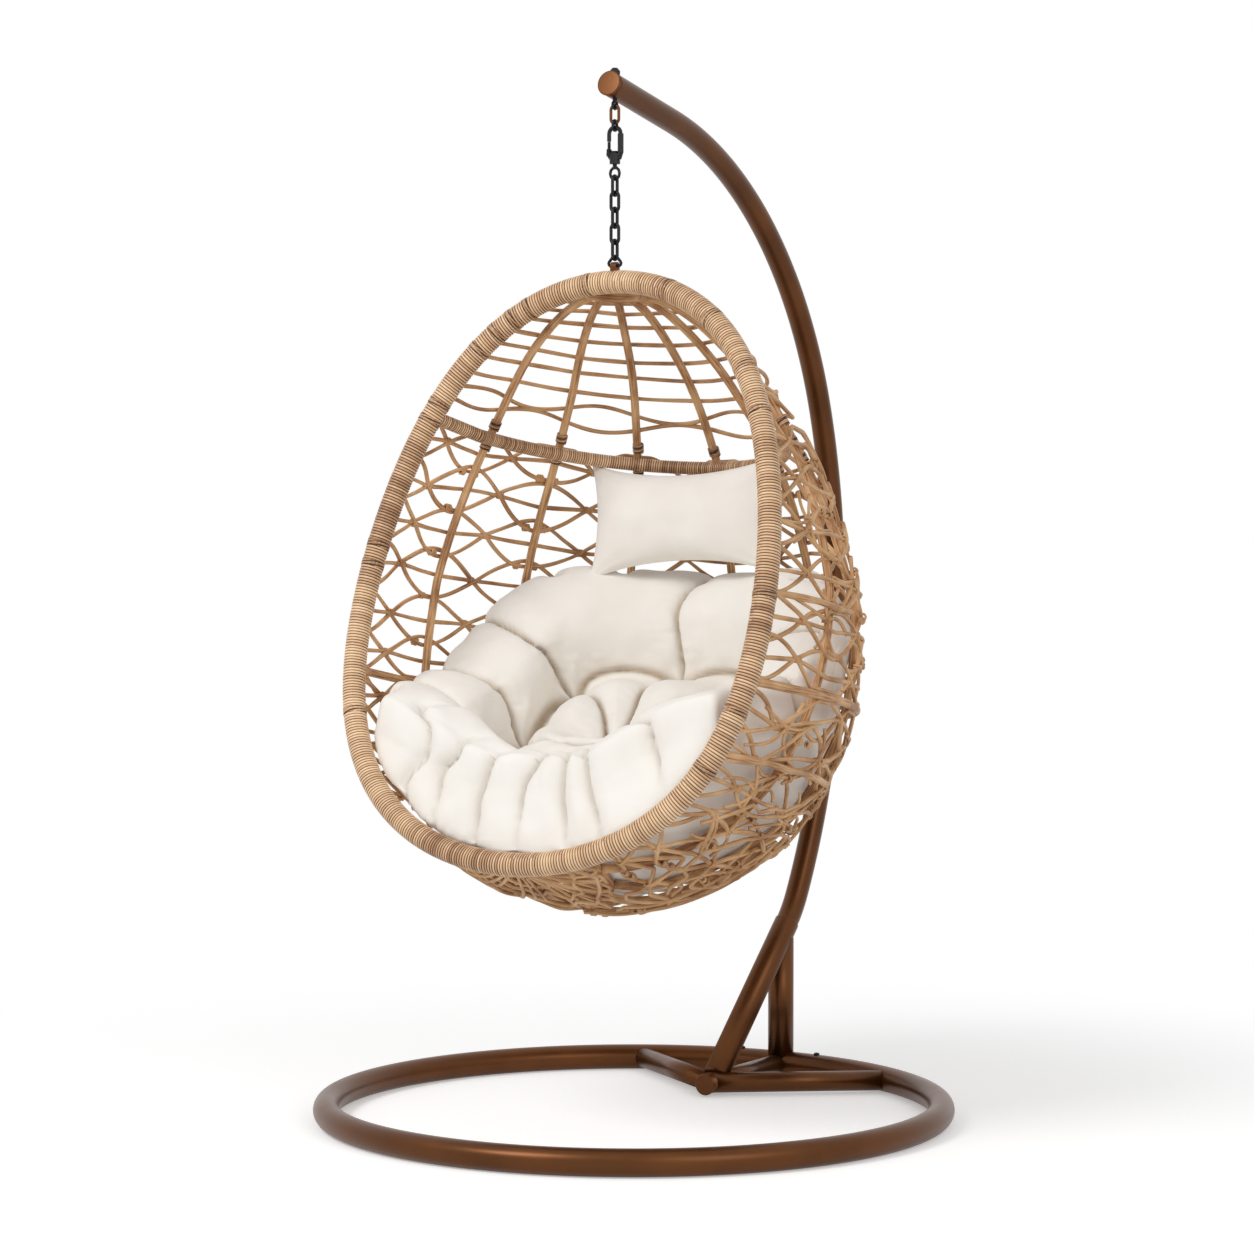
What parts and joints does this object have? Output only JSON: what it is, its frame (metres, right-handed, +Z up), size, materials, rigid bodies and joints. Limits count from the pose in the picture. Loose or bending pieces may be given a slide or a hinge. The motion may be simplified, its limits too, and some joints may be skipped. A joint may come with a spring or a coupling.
{
  "type": "hanging egg chair",
  "caption": "Egg-shaped woven hanging chair with a tufted seat cushion and head pillow, hung by a chain and swivel snap hook from a curved arm on a round floor ring.",
  "frame": {"origin": "centre of the bounding box in plan, on the floor", "axes": "+Z up, the seat faces -Y, the arm and post stand at +Y, +X is the sitter's left"},
  "size_m": [1.168, 1.3872, 1.9021],
  "materials": {
    "bronze_paint": "satin bronze-brown powder coat",
    "black_steel": "black coated steel",
    "rattan_cane": "light tan rattan cane, satin",
    "cotton_canvas": "off-white woven cotton"
  },
  "bodies": {
    "stand": {"base_ring": "bronze_paint", "ring_splice": "bronze_paint", "ring_screw_left": "black_steel", "ring_screw_right": "black_steel", "stretcher": "bronze_paint", "stretcher_cap": "bronze_paint", "chord_left": "bronze_paint", "chord_right": "bronze_paint", "brace": "bronze_paint", "post": "bronze_paint", "post_spigot": "bronze_paint", "post_bolt_lower": "black_steel", "post_bolt_upper": "black_steel", "arm": "bronze_paint", "arm_cap": "bronze_paint", "eye_bolt": "black_steel", "hanger_nut": "black_steel"},
    "hanger": {"hanger_shackle": "bronze_paint"},
    "hook": {"small_link": "black_steel", "snap_hook": "black_steel", "gate_pin": "black_steel"},
    "gate": {"hook_gate": "black_steel"},
    "chain": {"swivel_eye": "black_steel", "chain_link_1": "black_steel", "chain_link_2": "black_steel", "chain_link_3": "black_steel", "chain_link_4": "black_steel"},
    "lower_link": {"chain_link_5": "black_steel", "basket_shackle": "black_steel"},
    "basket": {"rim_tube": "bronze_paint", "lug": "bronze_paint", "rim_wrap_left": "rattan_cane", "rim_wrap_right": "rattan_cane", "hoop_crown": "rattan_cane", "hoop_upper": "rattan_cane", "hoop_lower": "rattan_cane", "hoop_base": "rattan_cane", "rib_1": "rattan_cane", "rib_2": "rattan_cane", "rib_3": "rattan_cane", "rib_4": "rattan_cane", "rib_5": "rattan_cane", "rib_6": "rattan_cane", "rib_7": "rattan_cane", "dome_strand_1": "rattan_cane", "dome_strand_2": "rattan_cane", "dome_strand_3": "rattan_cane", "dome_strand_4": "rattan_cane", "dome_strand_5": "rattan_cane", "dome_strand_6": "rattan_cane", "dome_strand_7": "rattan_cane", "dome_strand_8": "rattan_cane", "dome_strand_9": "rattan_cane", "dome_strand_10": "rattan_cane", "weave_upper": "rattan_cane", "weave_lower": "rattan_cane", "seat_cushion": "cotton_canvas", "head_pillow": "cotton_canvas"}
  },
  "joints": [
    {"name": "hanger_swing", "type": "hinge", "parent": "stand", "child": "hanger", "pos_m": [0, -0.17555, 1.83505], "axis": [1, 0, 0], "range_deg": [-12, 12]},
    {"name": "hook_sway", "type": "hinge", "parent": "hanger", "child": "hook", "pos_m": [0, -0.17555, 1.80855], "axis": [0, 1, 0], "range_deg": [-15, 15]},
    {"name": "gate_spring", "type": "hinge", "parent": "hook", "child": "gate", "pos_m": [-0.012, -0.17555, 1.75445], "axis": [0, 1, 0], "range_deg": [0, 20], "stiffness_Nm_per_rad": 0.02, "springref_deg": -17.19},
    {"name": "swivel_turn", "type": "hinge", "parent": "hook", "child": "chain", "pos_m": [0, -0.17555, 1.74], "axis": [0, 0, 1], "continuous": true},
    {"name": "lower_link_sway", "type": "hinge", "parent": "chain", "child": "lower_link", "pos_m": [0, -0.17555, 1.59465], "axis": [0, -1, 0], "range_deg": [-15, 15]},
    {"name": "basket_swing", "type": "hinge", "parent": "lower_link", "child": "basket", "pos_m": [0, -0.17555, 1.54845], "axis": [-1, 0, 0], "range_deg": [-12, 12]}
  ]
}
